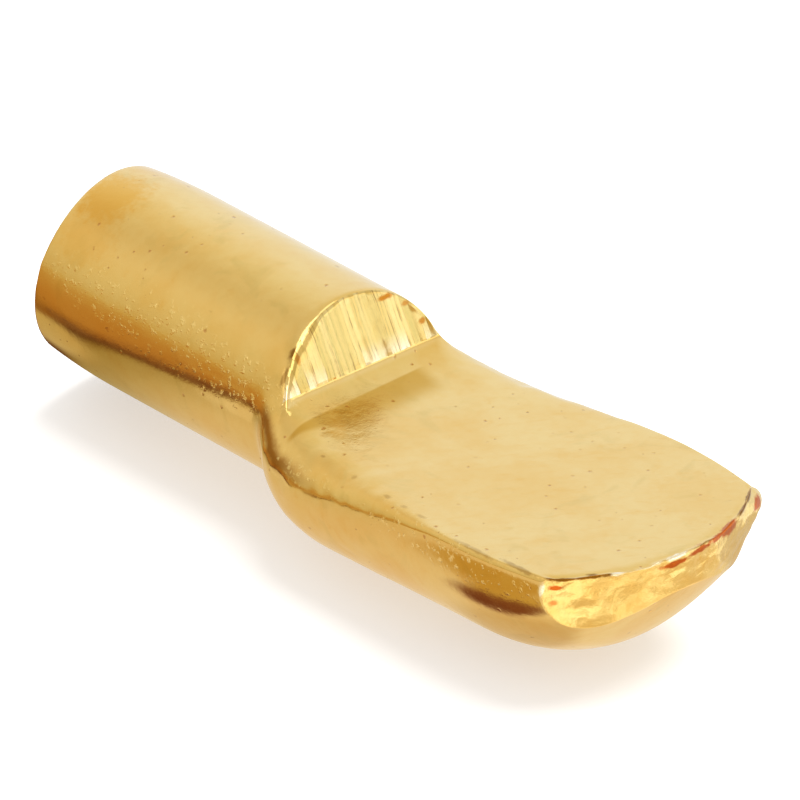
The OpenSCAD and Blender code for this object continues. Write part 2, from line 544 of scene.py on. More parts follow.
def soften_rims(wear, grids):
    """Rolls the rims of the shoulder, the trimmed face and the cropped end, column by column."""
    for k in range(COLUMNS + 1):
        back = COLUMNS - k
        # These are views, so what is written to them goes into the grids
        parts = [
            grids["crop"][::-1, k], grids["barrel_top"][1:, k], grids["face"][1:, k],
            grids["blade_top"][1:, k], grids["trim"][1:, k],
            grids["blade_belly"][::-1, back][1:], grids["barrel_belly"][::-1, back][1:-1],
        ]
        ends = np.cumsum([len(p) for p in parts]) - 1
        loop = np.concatenate(parts)
        step = np.linalg.norm(np.diff(loop, axis=0), axis=1)
        place = np.concatenate([[0], np.cumsum(step)])
        near_side = ease(-grids["barrel_top"][-1, k, 1] / NEAR_RIM_FROM)
        rim_softness = wear.rim_softness * (1 + NEAR_RIM_WIDENING * near_side)
        rims = [
            (0, wear.crop_softness), (ends[0], wear.crop_softness), (ends[1], rim_softness),
            (ends[3], wear.trim_softness), (ends[4], wear.trim_softness),
        ]
        spread = np.zeros(len(loop))
        for index, softness in rims:
            spread = np.maximum(spread, bump(place - place[index], softness / MM))
        spread[spread < LEAST_SPREAD] = 0
        for part, softened in zip(parts, np.split(soften(loop, spread), ends[:-1] + 1)):
            part[:] = softened
    join_grids(grids)


def join_grids(grids):
    """Gives neighbouring grids the same points along the lines where they meet."""
    top, belly = grids["barrel_top"], grids["barrel_belly"]
    blade_top, blade_belly = grids["blade_top"], grids["blade_belly"]
    top[0] = grids["crop"][0]
    belly[0] = grids["crop"][-1][::-1]
    grids["face"][0] = top[-1]
    blade_top[0] = grids["face"][-1]
    blade_belly[0] = belly[-1]
    grids["trim"][0] = blade_top[-1]
    for over, under in ((top, belly), (blade_top, blade_belly)):
        under[:, 0] = over[:, -1]
        under[:, -1] = over[:, 0]
    blade_belly[-1, 1:-1] = grids["trim"][-1][::-1][1:-1]
    belly[-1, 1:-1] = blade_belly[0, 1:-1]
    for name in ("face", "trim", "crop"):
        grid = grids[name]
        grid[:, 0] = grid[0, 0]
        grid[:, -1] = grid[0, -1]
    belly[-1, 0] = top[-1, -1]
    belly[-1, -1] = top[-1, 0]
    blade_top[0, 0] = top[-1, 0]
    blade_top[0, -1] = top[-1, -1]
    blade_belly[0, 0] = top[-1, -1]
    blade_belly[0, -1] = top[-1, 0]


def wander_rim(wear, grids):
    """Makes the shoulder's rim ragged: the punch tore it forwards and back as it sheared."""
    rim = grids["barrel_top"][-1].copy()
    shift = fractal_noise(rim, RIM_CELL, wear.seed, 2) * wear.rim_raggedness / MM * from_ends(12)
    for name, rows in (("barrel_top", slice(None, None, -1)), ("face", slice(None))):
        grid = grids[name][rows]
        away = np.linalg.norm(grid - rim[None], axis=-1)
        grid[..., 0] += shift[None] * np.exp(-(away / RIM_REACH) ** 2)


def broach_face(form, wear, grids):
    """Lines down the shoulder face, cut by the punch, deepest where they end at the fillet."""
    face = grids["face"]
    normal = np.array([math.cos(form.shoulder_lean), 0, math.sin(form.shoulder_lean)])
    down = (form.pin_r - face[..., 2]) * math.tan(BROACH_LEAN)
    across = face[..., 1] - down
    line = np.stack([across, 0 * across + 0.5, BROACH_DRIFT * face[..., 2]], axis=-1)
    fine_seed, broad_seed, step_seed = (wear.seed + seed for seed in BROACH_SEEDS)
    fine = fractal_noise(line, BROACH_FINE, fine_seed, 2)
    broad = value_noise(line, BROACH_BROAD, broad_seed)
    step = np.round(BROACH_STEPS * value_noise(line, BROACH_STEP, step_seed)) / BROACH_STEPS
    height = (0.6 * fine + 0.7 * broad + 0.5 * step) * wear.broach_depth / MM
    from_rim = np.linspace(0, 1, len(face))[:, None]
    height = height * ease(from_rim / BROACH_FADE) * from_ends(10)
    height[-1] = 0
    face += height[..., None] * normal


def tear_trim(form, wear, grids):
    """The trimmed face: a swirled, torn skin and a dragged corner."""
    face = grids["trim"]
    out = face - np.array([form.tip_centre_x, 0, 0])
    out[..., 2] = -math.tan(form.trim_draft) * np.linalg.norm(out[..., :2], axis=-1)
    out /= np.linalg.norm(out, axis=-1, keepdims=True)
    swirl = fractal_noise(face, SWIRL_CELL, wear.seed + SWIRL_SEED, 3)
    swirl = swirl * wear.tear_depth / MM * inside(face, 0.6) * from_ends(8)
    face += swirl[..., None] * out
    drag_corner(wear, face, out)


def drag_corner(wear, face, out):
    """The far corner of the tip, which the die dragged out below the flat."""
    corner = face[0, 0]
    below = np.maximum(0, corner[2] - face[..., 2]) / DRAG_DEPTH
    rise = (below * np.exp(1 - below)) ** DRAG_CURVE
    near = np.exp(-((face[..., 1] - corner[1]) / DRAG_WIDTH) ** 2)
    face += (wear.corner_burr / MM * near * rise)[..., None] * out


def raise_burr(wear, grids):
    """A burr along the flat's trimmed edge, with the flat rolled down a little behind it."""
    top = grids["blade_top"]
    away = np.linalg.norm(top - top[-1][None], axis=-1)
    edge = top[-1]
    lift = 0.7 + 0.8 * fractal_noise(edge, BURR_CELL, wear.seed + BURR_SEED, 3)
    sunk = 0.7 + 0.6 * value_noise(edge, DIP_CELL, wear.seed + DIP_SEED)
    burr = np.clip(lift, 0, 2) * np.exp(-(away / BURR_REACH) ** 2)
    dip = np.clip(sunk, 0, 2) * np.exp(-(away / DIP_REACH) ** 2)
    top[..., 2] += (burr * wear.burr_height - dip * wear.edge_dip) / MM * from_ends(6)
    grids["trim"][0] = top[-1]


def tear_crop(wear, grids):
    """The cropped end's grainy break."""
    face = grids["crop"]
    height = np.abs(fractal_noise(face, CROP_CELL, wear.seed + CROP_SEED, 4))
    face[..., 0] += height * wear.crop_tear_depth / MM * inside(face, 0.5)


# Meshes


def grid_faces(offset, rows, columns, flipped):
    """Quads of a grid whose points start at offset, wound so that they face out of the pin."""
    r, c = np.meshgrid(np.arange(rows - 1), np.arange(columns - 1), indexing="ij")
    a = offset + r * columns + c
    quads = np.stack([a, a + 1, a + columns + 1, a + columns], axis=-1).reshape(-1, 4)
    return quads[:, ::-1] if flipped else quads


def merge_points(points, faces, grain=1e-4):
    """Joins points that coincide, and drops the corners and faces that this closes up."""
    keys = np.round(points / grain).astype(np.int64)
    _, first, index = np.unique(keys, axis=0, return_index=True, return_inverse=True)
    index = index.reshape(-1)
    merged = []
    kept = []
    for number, face in enumerate(index[faces]):
        ring = [v for i, v in enumerate(face) if v != face[i - 1]]
        if len(ring) > 2:
            merged.append(ring)
            kept.append(number)
    return points[first], merged, np.array(kept)


# Each grid's material, and whether its faces are turned over
PATCHES = {
    "crop": ("pin_torn", True),
    "barrel_top": ("pin_skin", False),
    "barrel_belly": ("pin_skin", False),
    "face": ("pin_sheared", False),
    "blade_top": ("pin_skin", False),
    "blade_belly": ("pin_skin", False),
    "trim": ("pin_torn", False),
}


def shape_grids(form, wear):
    """All the pin's grids by name, joined along the lines where they meet, with their wear."""
    grids = {}
    grids["barrel_top"], grids["barrel_belly"] = barrel_grids(form)
    grids["blade_top"], grids["blade_belly"] = blade_grids(form)
    soften_edges(wear, grids)
    grids["face"] = lens_grid(grids["barrel_top"][-1], grids["blade_top"][0], FACE_ROWS)
    grids["trim"] = lens_grid(grids["blade_top"][-1], grids["blade_belly"][-1][::-1], TRIM_ROWS)
    inner = grids["trim"][1:-1]
    inner[..., 0] = form.trim_x(inner[..., 1], inner[..., 2])
    grids["crop"] = lens_grid(grids["barrel_top"][0], grids["barrel_belly"][0][::-1], CROP_ROWS)
    join_grids(grids)
    wander_rim(wear, grids)
    broach_face(form, wear, grids)
    tear_trim(form, wear, grids)
    raise_burr(wear, grids)
    tear_crop(wear, grids)
    soften_rims(wear, grids)
    return grids


def build_pin_mesh(form, wear):
    """The whole pin as one closed mesh, in metres, and its materials' names in slot order."""
    grids = shape_grids(form, wear)
    materials = sorted({name for name, _ in PATCHES.values()})
    points, faces, slots = [], [], []
    for name, (material, flipped) in PATCHES.items():
        grid = grids[name]
        quads = grid_faces(sum(len(p) for p in points), grid.shape[0], grid.shape[1], flipped)
        points.append(grid.reshape(-1, 3))
        faces.append(quads)
        slots.append(np.full(len(quads), materials.index(material)))
    points, faces, kept = merge_points(np.concatenate(points), np.concatenate(faces))
    points = np.clip(points * MM, np.array(CAD_LOW), np.array(CAD_HIGH))
    mesh = bpy.data.meshes.new("shelf_pin_form")
    mesh.from_pydata(points.tolist(), [], faces)
    mesh.polygons.foreach_set("material_index", np.concatenate(slots)[kept].astype(np.int32))
    mesh.polygons.foreach_set("use_smooth", np.ones(len(faces), dtype=bool))
    mesh.validate()
    mesh.update()
    return mesh, materials


# Shader building


def place(tree, kind, inputs=None, **settings):
    """Adds a node; inputs maps sockets' names or numbers to values or other nodes' outputs."""
    node = tree.nodes.new(kind)
    for name, value in settings.items():
        setattr(node, name, value)
    for key, value in (inputs or {}).items():
        socket = node.inputs[key]
        if isinstance(value, bpy.types.NodeSocket):
            tree.links.new(value, socket)
        elif socket.type == "RGBA" and len(value) == 3:
            socket.default_value = (*value, 1)
        else:
            socket.default_value = value
    return node


def maths(tree, operation, *values, clamp=False):
    inputs = dict(enumerate(values))
    return place(tree, "ShaderNodeMath", inputs, operation=operation, use_clamp=clamp).outputs[0]


def times(tree, *values):
    """The product of all the values."""
    total = values[0]
    for value in values[1:]:
        total = maths(tree, "MULTIPLY", total, value)
    return total


def vector_maths(tree, operation, *values, output=0):
    inputs = dict(enumerate(values))
    return place(tree, "ShaderNodeVectorMath", inputs, operation=operation).outputs[output]


def scaled(tree, vector, factor):
    inputs = {0: vector, "Scale": factor}
    return place(tree, "ShaderNodeVectorMath", inputs, operation="SCALE").outputs[0]


def length_of(tree, vector):
    return vector_maths(tree, "LENGTH", vector, output="Value")


def combined(tree, *values):
    return place(tree, "ShaderNodeCombineXYZ", dict(enumerate(values))).outputs[0]


def split(tree, vector):
    return place(tree, "ShaderNodeSeparateXYZ", {0: vector}).outputs


def split_colour(tree, colours):
    return place(tree, "ShaderNodeSeparateColor", {0: colours}).outputs


def blend_colour(tree, factor, below, above, mode="MIX"):
    node = place(
        tree, "ShaderNodeMix", {0: factor, 6: below, 7: above},
        data_type="RGBA", blend_type=mode, clamp_factor=True,
    )
    return node.outputs[2]


def overlaid(tree, tone, mask, overlay, strength=1.0):
    """The tone with another colour over it where the mask is; it lays stains, painted shade and
    painted highlights.
    """
    if strength != 1.0:
        mask = times(tree, mask, strength)
    return blend_colour(tree, mask, tone, overlay)


def ranged(tree, value, low, high, to_low=0.0, to_high=1.0):
    """Eases from to_low to to_high as value goes from low to high."""
    inputs = {
        "Value": value, "From Min": low, "From Max": high, "To Min": to_low, "To Max": to_high,
    }
    node = place(tree, "ShaderNodeMapRange", inputs, interpolation_type="SMOOTHSTEP")
    return node.outputs["Result"]


def between(tree, value, low, low_full, high_full, high):
    """1 from low_full to high_full, easing to 0 at low and at high."""
    return times(tree, ranged(tree, value, low, low_full), ranged(tree, value, high, high_full))


def noise(tree, position, scale, detail=2.0, roughness=0.5, distortion=0.0):
    """Soft noise round 0.5, between 0 and 1."""
    inputs = {
        "Vector": position, "Scale": scale, "Detail": detail,
        "Roughness": roughness, "Distortion": distortion,
    }
    return place(tree, "ShaderNodeTexNoise", inputs).outputs["Fac"]


def stretched(tree, position, scale, turn=(0, 0, 0)):
    """The position turned, then scaled along each axis."""
    node = place(
        tree, "ShaderNodeVectorRotate", {"Vector": position, "Rotation": turn},
        rotation_type="EULER_XYZ",
    )
    return vector_maths(tree, "MULTIPLY", node.outputs[0], scale)


def pin_position(tree):
    """Position on the pin in millimetres."""
    return scaled(tree, place(tree, "ShaderNodeTexCoord").outputs["Object"], 1 / MM)


def group(name, inputs, outputs):
    """An empty shader group with its sockets, and the group's input and output nodes."""
    tree = bpy.data.node_groups.new(name, "ShaderNodeTree")
    for label, kind, default in inputs:
        socket = tree.interface.new_socket(label, in_out="INPUT", socket_type=kind)
        if default is not None:
            socket.default_value = default
    for label, kind in outputs:
        tree.interface.new_socket(label, in_out="OUTPUT", socket_type=kind)
    entry = tree.nodes.new("NodeGroupInput")
    leave = tree.nodes.new("NodeGroupOutput")
    return tree, entry.outputs, leave.inputs


VECTOR, NUMBER, COLOUR = "NodeSocketVector", "NodeSocketFloat", "NodeSocketColor"


def tone_group():
    """Plating whose tone drifts between clean and warm in soft clouds and small flecks."""
    tree, entry, leave = group(
        "Plating Tone",
        [("Position", VECTOR, None), ("Cloud Scale", NUMBER, 0.35), ("Fleck Scale", NUMBER, 3.0),
         ("Clean", COLOUR, None), ("Warm", COLOUR, None), ("Amount", NUMBER, 0.5)],
        [("Colour", COLOUR)],
    )
    cloud = noise(tree, entry["Position"], entry["Cloud Scale"], 3.0, 0.55, 0.6)
    fleck = noise(tree, entry["Position"], entry["Fleck Scale"], 3.0, 0.6)
    cloudy = ranged(tree, cloud, 0.4, 0.7)
    mixed = maths(tree, "MULTIPLY_ADD", ranged(tree, fleck, 0.35, 0.75), 0.35, cloudy)
    factor = maths(tree, "MULTIPLY", mixed, entry["Amount"], clamp=True)
    tree.links.new(blend_colour(tree, factor, entry["Clean"], entry["Warm"]), leave["Colour"])
    return tree


def peel_group():
    """Orange peel of the plating: soft dimples with fine grain over them."""
    tree, entry, leave = group(
        "Plating Peel",
        [("Position", VECTOR, None), ("Peel Scale", NUMBER, 2.2), ("Grain Scale", NUMBER, 16.0),
         ("Grain Share", NUMBER, 0.25)],
        [("Height", NUMBER)],
    )
    peel = noise(tree, entry["Position"], entry["Peel Scale"], 2.0, 0.45)
    grain = noise(tree, entry["Position"], entry["Grain Scale"], 2.0, 0.6)
    tree.links.new(maths(tree, "MULTIPLY_ADD", grain, entry["Grain Share"], peel), leave["Height"])
    return tree


def pits_group():
    """Small scattered pits or grains: a mask that rises to 1 in the middle of each."""
    tree, entry, leave = group(
        "Pits",
        [("Position", VECTOR, None), ("Scale", NUMBER, 2.5), ("Size", NUMBER, 0.16),
         ("Share", NUMBER, 0.5), ("Shake", NUMBER, 0.12)],
        [("Mask", NUMBER)],
    )
    inputs = {"Vector": entry["Position"], "Scale": 9.0, "Detail": 2.0}
    shaken = place(tree, "ShaderNodeTexNoise", inputs).outputs["Color"]
    moved = vector_maths(tree, "ADD", scaled(tree, shaken, entry["Shake"]), entry["Position"])
    cells = place(tree, "ShaderNodeTexVoronoi", {"Vector": moved, "Scale": entry["Scale"]})
    chance, span, _ = split_colour(tree, cells.outputs["Color"])
    picked = maths(tree, "LESS_THAN", chance, entry["Share"])
    size = times(tree, entry["Size"], maths(tree, "MULTIPLY_ADD", span, 0.8, 0.2))
    reach = maths(tree, "DIVIDE", cells.outputs["Distance"], size)
    tree.links.new(times(tree, ranged(tree, reach, 1.0, 0.0), picked), leave["Mask"])
    return tree


def spot_group():
    """A ragged spot round a centre, as a mask, for stains and for painted shade and highlights."""
    tree, entry, leave = group(
        "Stain And Painted Light Spot",
        [("Position", VECTOR, None), ("Centre", VECTOR, None), ("Size", VECTOR, (1, 1, 1)),
         ("Ragged", NUMBER, 1.1)],
        [("Mask", NUMBER)],
    )
    away = vector_maths(tree, "SUBTRACT", entry["Position"], entry["Centre"])
    far = length_of(tree, vector_maths(tree, "DIVIDE", away, entry["Size"]))
    rough = maths(tree, "SUBTRACT", noise(tree, entry["Position"], 4.5, 4.0, 0.65), 0.5)
    edge = maths(tree, "MULTIPLY_ADD", rough, entry["Ragged"], far)
    tree.links.new(ranged(tree, edge, 1.0, 0.35), leave["Mask"])
    return tree


def lines_group():
    """Fine lines along one direction, such as drawing lines or scratches, as a height."""
    tree, entry, leave = group(
        "Fine Lines",
        [("Position", VECTOR, None), ("Fine Scale", NUMBER, 12.0)],
        [("Height", NUMBER)],
    )
    broad = noise(tree, entry["Position"], times(tree, entry["Fine Scale"], 0.3), 2.0)
    fine = noise(tree, entry["Position"], entry["Fine Scale"], 2.0, 0.7)
    tree.links.new(maths(tree, "MULTIPLY_ADD", fine, 0.5, broad), leave["Height"])
    return tree


def patches_group():
    """Roughness that drifts between a bright and a dull value in soft patches."""
    tree, entry, leave = group(
        "Dull Patches",
        [("Position", VECTOR, None), ("Scale", NUMBER, 1.4), ("Bright", NUMBER, 0.1),
         ("Dull", NUMBER, 0.18)],
        [("Roughness", NUMBER)],
    )
    patches = noise(tree, entry["Position"], entry["Scale"], 3.0, 0.6)
    dull = ranged(tree, patches, 0.3, 0.7, entry["Bright"], entry["Dull"])
    tree.links.new(dull, leave["Roughness"])
    return tree


EFFECTS = {
    "tone": tone_group, "peel": peel_group, "pits": pits_group, "spot": spot_group,
    "lines": lines_group, "patches": patches_group,
}


def effect(tree, effects, name, **inputs):
    """Places one of the shared effects; inputs are given by socket name, with _ for a space."""
    values = {key.replace("_", " "): value for key, value in inputs.items()}
    return place(tree, "ShaderNodeGroup", values, node_tree=effects[name]).outputs[0]


def new_material(name, metallic=1.0):
    """A material with its node tree, and its Principled shader."""
    material = bpy.data.materials.new(name)
    material.use_nodes = True
    tree = material.node_tree
    tree.nodes.clear()
    shader = place(tree, "ShaderNodeBsdfPrincipled", {"Metallic": metallic})
    place(tree, "ShaderNodeOutputMaterial", {"Surface": shader.outputs[0]})
    return material, tree, shader


def raise_bumps(tree, shader, *bumps):
    """Stacks bumps on the shader's normal; each is a height and a depth in millimetres."""
    normal = None
    for height, depth in bumps:
        inputs = {"Height": height, "Distance": depth * MM, "Strength": 1.0}
        if normal is not None:
            inputs["Normal"] = normal
        normal = place(tree, "ShaderNodeBump", inputs).outputs[0]
    tree.links.new(normal, shader.inputs["Normal"])


# Marks: each has its middle and half sizes in millimetres, and its strength
# Partly tarnish and partly a painted dark reflection: the red-brown patch on the belly near the tip
SKIN_TARNISH_AND_PAINTED_REFLECTION = [
    ((11.2, -4.15, -1.0), (2.3, 0.5, 0.34), 0.35),
]
# Painted shade: a broken dark line along the near side's rolled edge, and a dark crescent beside
# the shoulder's near rim
SKIN_SHADE = [
    ((2.87, -3.84, 0.5), (0.1, 0.1, 0.2), 0.4), ((3.52, -3.55, 0.5), (0.14, 0.08, 0.2), 0.4),
    ((5.02, -3.7, 0.5), (0.16, 0.12, 0.2), 0.3), ((6.59, -3.85, 0.5), (0.2, 0.1, 0.2), 0.3),
    ((7.4, -3.95, 0.5), (0.2, 0.1, 0.2), 0.3), ((8.16, -4.0, 0.5), (0.3, 0.12, 0.2), 0.3),
    ((10.6, -4.25, 0.70), (1.2, 0.12, 0.10), 0.35), ((12.3, -4.08, 0.74), (1.0, 0.12, 0.10), 0.45),
    ((0.82, -2.24, 2.16), (0.16, 0.36, 0.40), 0.9), ((0.94, -2.66, 1.6), (0.12, 0.3, 0.75), 0.6),
]
SKIN_OCHRE = [
    ((-8.6, -0.9, 2.9), (1.5, 1.7, 1.2), 1.0), ((-8.3, -2.2, 2.2), (1.6, 1.2, 1.2), 0.45),
    ((-9.0, 1.2, 2.6), (1.0, 1.2, 1.0), 0.4), ((12.8, 2.6, 0.8), (2.2, 1.9, 1.0), 0.3),
]
# Where the skin is grainy: its grains are raised and given painted sparkle
SKIN_GRAINY = [
    ((-4.5, -2.8, 1.1), (6.5, 1.4, 1.25), 0.9), ((-0.6, -2.9, 0.9), (2.4, 1.2, 1.1), 1.1),
    ((9.8, -4.3, 0.1), (4.6, 0.9, 0.75), 1.3), ((3.0, -4.3, 0.0), (2.6, 0.9, 0.5), 0.6),
]
FACE_RUST = [
    ((0.77, 1.30, 2.66), (1.0, 0.38, 0.11), 1.0), ((0.88, 1.97, 2.27), (1.0, 0.18, 0.11), 0.8),
    ((1.09, 2.46, 1.60), (1.0, 0.18, 0.13), 0.9), ((0.98, -2.2, 1.97), (1.0, 0.12, 0.18), 0.7),
    ((1.26, -1.06, 1.05), (1.0, 0.08, 0.07), 0.9),
]
# Marks along the trimmed edge: outwards from the edge, across and up
TIP_RUST = [
    ((-0.03, -0.5, 0.60), (0.3, 0.6, 0.14), 1.3), ((0.0, 0.45, 0.69), (0.3, 0.6, 0.14), 1.3),
    ((0.0, 1.25, 0.76), (0.14, 0.5, 0.18), 1.3), ((0.0, 1.85, 0.72), (0.2, 0.6, 0.30), 1.6),
    ((0.1, 3.75, 0.45), (0.5, 0.4, 0.2), 1.3), ((-0.05, -3.72, 0.45), (0.2, 0.2, 0.13), 1.2),
    ((-0.1, -3.72, -0.1), (0.2, 0.14, 0.18), 0.7),
]
# Painted shade: dark lines where the flat rolls down behind the trimmed edge's burr
TIP_PAINTED_SHADE = [
    ((0.0, -3.6, 0.78), (0.12, 0.5, 0.14), 1.2), ((0.0, -3.0, 0.79), (0.10, 0.6, 0.12), 1.2),
    ((0.0, -2.6, 0.79), (0.09, 0.4, 0.10), 0.9), ((-0.04, 2.8, 0.82), (0.10, 0.5, 0.14), 1.2),
    ((-0.04, 3.4, 0.82), (0.11, 0.5, 0.14), 1.2), ((0.02, 1.0, 0.84), (0.06, 1.4, 0.10), 0.8),
    ((-0.12, -2.85, 0.80), (0.10, 0.2, 0.1), 0.8),
]
# Painted highlights on the trimmed edge's burr and at the tip's two corners
TIP_PAINTED_HIGHLIGHTS = [
    ((-0.02, -0.45, 0.88), (0.20, 0.50, 0.20), 1.5), ((0.0, -2.25, 0.80), (0.12, 0.28, 0.14), 1.5),
    ((0.0, -1.5, 0.82), (0.06, 0.8, 0.12), 0.8), ((-0.05, -4.02, 0.28), (0.10, 0.09, 0.42), 1.3),
    ((0.1, 3.9, -0.1), (0.3, 0.3, 0.22), 0.8),
]
# Direction of the flat's streaks and scuffs
FLAT_TURN = math.radians(-55)
# The neck's painted dark line, a painted shade that stands in for a dark band mirrored in the
# crease: where it falls and its heights there, then where it falls on and how far
NECK_LINE_X = (0.3, 2.3)
NECK_LINE_Z = (0.60, -0.15)
NECK_LINE_ON_X = (2.3, 5.0)
NECK_LINE_ON_FALL = -0.16
# How much it waves, and where its ends, its sides and its far side fade
NECK_LINE_WAVE = 0.22
NECK_LINE_STRETCH = (0.3, 0.9, 1.9, 4.3)
NECK_LINE_SIDES = (0.42, 0.03)
NECK_LINE_NEAR = (-2.8, -3.2)
# The root's painted reflection of the shoulder face in the flat: its start on the axis, how that
# shifts across, its depth and where it fades
ROOT_REFLECTION_X = 1.98
ROOT_REFLECTION_SKEW = -0.03
ROOT_REFLECTION_DEPTH = (-3.7, -1.4, 0.15, 1.1)
ROOT_REFLECTION_ACROSS = (-3.8, -3.4, 1.3, 1.9)
ROOT_REFLECTION_START = (-0.05, 0.04)
ROOT_REFLECTION_FADE = (1.3, 0.5)
# Heights that hold the flat's root
FLAT_HEIGHTS = (0.2, 0.4, 0.9, 1.1)


def marks(tree, effects, position, spots):
    """One mask for several marks, each a ragged spot with its own strength."""
    total = None
    for centre, size, strength in spots:
        spot = effect(tree, effects, "spot", Position=position, Centre=centre, Size=size)
        mask = times(tree, spot, strength)
        total = mask if total is None else maths(tree, "MAXIMUM", total, mask)
    return total


def tip_edge_group(effects, form):
    """The trimmed edge's own marks: painted shade where it rolls under, painted highlights, and
    rust.
    """
    tree, entry, leave = group(
        "Tip Edge",
        [("Position", VECTOR, None), ("Colour", COLOUR, None), ("Shade", COLOUR, None),
         ("Worn", COLOUR, None), ("Rust", COLOUR, None)],
        [("Colour", COLOUR)],
    )
    from_centre = vector_maths(tree, "SUBTRACT", entry["Position"], (form.tip_centre_x, 0, 0))
    ahead, across, height = split(tree, from_centre)
    out = length_of(tree, combined(tree, maths(tree, "MAXIMUM", ahead, 0), across))
    edge_place = combined(tree, maths(tree, "SUBTRACT", out, form.tip_r), across, height)
    tone = entry["Colour"]
    for spots, finish in ((TIP_PAINTED_SHADE, "Shade"), (TIP_PAINTED_HIGHLIGHTS, "Worn"), (TIP_RUST, "Rust")):
        mask = maths(tree, "MINIMUM", marks(tree, effects, edge_place, spots), 1.0)
        tone = overlaid(tree, tone, mask, entry[finish])
    tree.links.new(tone, leave["Colour"])
    return tree


def tip_marks(tree, effects, position, finish, tone):
    """The tone with the trimmed edge's marks over it."""
    return effect(
        tree, effects, "tip", Position=position, Colour=tone, Shade=finish.shade,
        Worn=finish.painted_highlight, Rust=finish.rust,
    )


def root_reflection(tree, across, along):
    """A painted reflection of the shoulder face, in a wedge on the flat, crisp along the root
    fillet and fading ahead of it.
    """
    start = maths(tree, "MULTIPLY_ADD", across, ROOT_REFLECTION_SKEW, ROOT_REFLECTION_X)
    ahead = maths(tree, "SUBTRACT", along, start)
    deep = ranged(tree, across, *ROOT_REFLECTION_DEPTH)
    within = between(tree, across, *ROOT_REFLECTION_ACROSS)
    fading = ranged(tree, maths(tree, "DIVIDE", ahead, deep), *ROOT_REFLECTION_FADE)
    return times(tree, within, ranged(tree, ahead, *ROOT_REFLECTION_START), fading)


def neck_line(tree, position, along, across, height):
    """Painted shade along the crease where the rolled edge runs out of the near side of the neck,
    standing in for a dark band mirrored there.
    """
    fall = ranged(tree, along, *NECK_LINE_X, *NECK_LINE_Z)
    on = ranged(tree, along, *NECK_LINE_ON_X)
    fall = maths(tree, "MULTIPLY_ADD", on, NECK_LINE_ON_FALL, fall)
    waves = noise(tree, position, 2.6, 3.0, 0.6)
    wavy = maths(tree, "MULTIPLY_ADD", waves, NECK_LINE_WAVE, -NECK_LINE_WAVE / 2)
    off = maths(tree, "SUBTRACT", maths(tree, "ADD", height, wavy), fall)
    line = ranged(tree, maths(tree, "ABSOLUTE", off), *NECK_LINE_SIDES)
    ends = between(tree, along, *NECK_LINE_STRETCH)
    near = ranged(tree, across, *NECK_LINE_NEAR)
    return times(tree, maths(tree, "POWER", line, 1.7), ends, near)


def skin_tone(tree, effects, position, finish):
    """The skin's colour with all its marks, and the masks of its pits and grains."""
    along, across, height = split(tree, position)
    tone = effect(
        tree, effects, "tone", Position=position, Clean=finish.brass, Warm=finish.ochre,
        Amount=0.38,
    )
    turned = stretched(tree, position, (0.7, 2.2, 1.0), (0, 0, FLAT_TURN))
    streak = ranged(tree, noise(tree, turned, 1.6, 4.0, 0.6, 0.4), 0.52, 0.72)
    streaky = times(tree, streak, ranged(tree, along, 2.0, 5.0, 0.08, 0.25))
    tone = overlaid(tree, tone, streaky, finish.ochre)
    cool = ranged(tree, noise(tree, position, 0.8, 3.0, 0.5, 1.0), 0.55, 0.75)
    tone = overlaid(tree, tone, cool, finish.olive, strength=0.35)
    tone = overlaid(tree, tone, marks(tree, effects, position, SKIN_OCHRE), finish.ochre)
    tone = overlaid(tree, tone, marks(tree, effects, position, SKIN_TARNISH_AND_PAINTED_REFLECTION), finish.tarnish)
    # Painted shade along the near edge and beside the shoulder's near rim
    tone = overlaid(tree, tone, marks(tree, effects, position, SKIN_SHADE), finish.shade)
    # Painted shade along the neck's crease
    neck = neck_line(tree, position, along, across, height)
    tone = overlaid(tree, tone, neck, finish.painted_neck_shade, strength=0.95)
    # Painted reflection of the shoulder face in the flat beside the root
    wedge = times(tree, root_reflection(tree, across, along), between(tree, height, *FLAT_HEIGHTS))
    tone = overlaid(tree, tone, wedge, finish.root_reflection_colour, strength=0.75)
    pits = effect(tree, effects, "pits", Position=position, Scale=2.3, Size=0.21, Share=0.7)
    tone = overlaid(tree, tone, pits, finish.tarnish, strength=0.6)
    faint = effect(
        tree, effects, "pits", Position=position, Scale=1.3, Size=0.34, Share=0.5, Shake=0.4,
    )
    tone = overlaid(tree, tone, faint, finish.ochre, strength=0.3)
    tone = tip_marks(tree, effects, position, finish, tone)
    grains = effect(
        tree, effects, "pits", Position=position, Scale=5.5, Size=0.68, Share=0.75, Shake=0.3,
    )
    grains = times(tree, grains, marks(tree, effects, position, SKIN_GRAINY))
    # Painted sparkle on the grains
    tone = overlaid(tree, tone, grains, finish.glitter, strength=0.9)
    return tone, pits, grains


def skin_material(finish, effects):
    """Plating over the drawn and coined skin of the wire."""
    material, tree, shader = new_material("pin_skin")
    position = pin_position(tree)
    tone, pits, grains = skin_tone(tree, effects, position, finish)
    tree.links.new(tone, shader.inputs["Base Color"])
    rough = effect(
        tree, effects, "patches", Position=position, Scale=1.4,
        Bright=finish.skin_roughness - 0.03, Dull=finish.skin_roughness + 0.05,
    )
    tree.links.new(rough, shader.inputs["Roughness"])
    peel = effect(tree, effects, "peel", Position=position, Peel_Scale=2.4, Grain_Scale=14.0)
    drawn = stretched(tree, position, (0.08, 1.0, 1.0))
    lines = effect(tree, effects, "lines", Position=drawn, Fine_Scale=6.0)
    scuffed = stretched(tree, position, (0.6, 2.6, 1.0), (0, 0, FLAT_TURN))
    along, _, _ = split(tree, position)
    scuffs = times(tree, noise(tree, scuffed, 2.2, 4.0, 0.6, 0.6), ranged(tree, along, 3.2, 6.0))
    raise_bumps(
        tree, shader, (peel, 0.0065), (lines, 0.0015), (scuffs, 0.0022), (grains, 0.010),
        (times(tree, pits, -1.0), 0.010),
    )
    return material


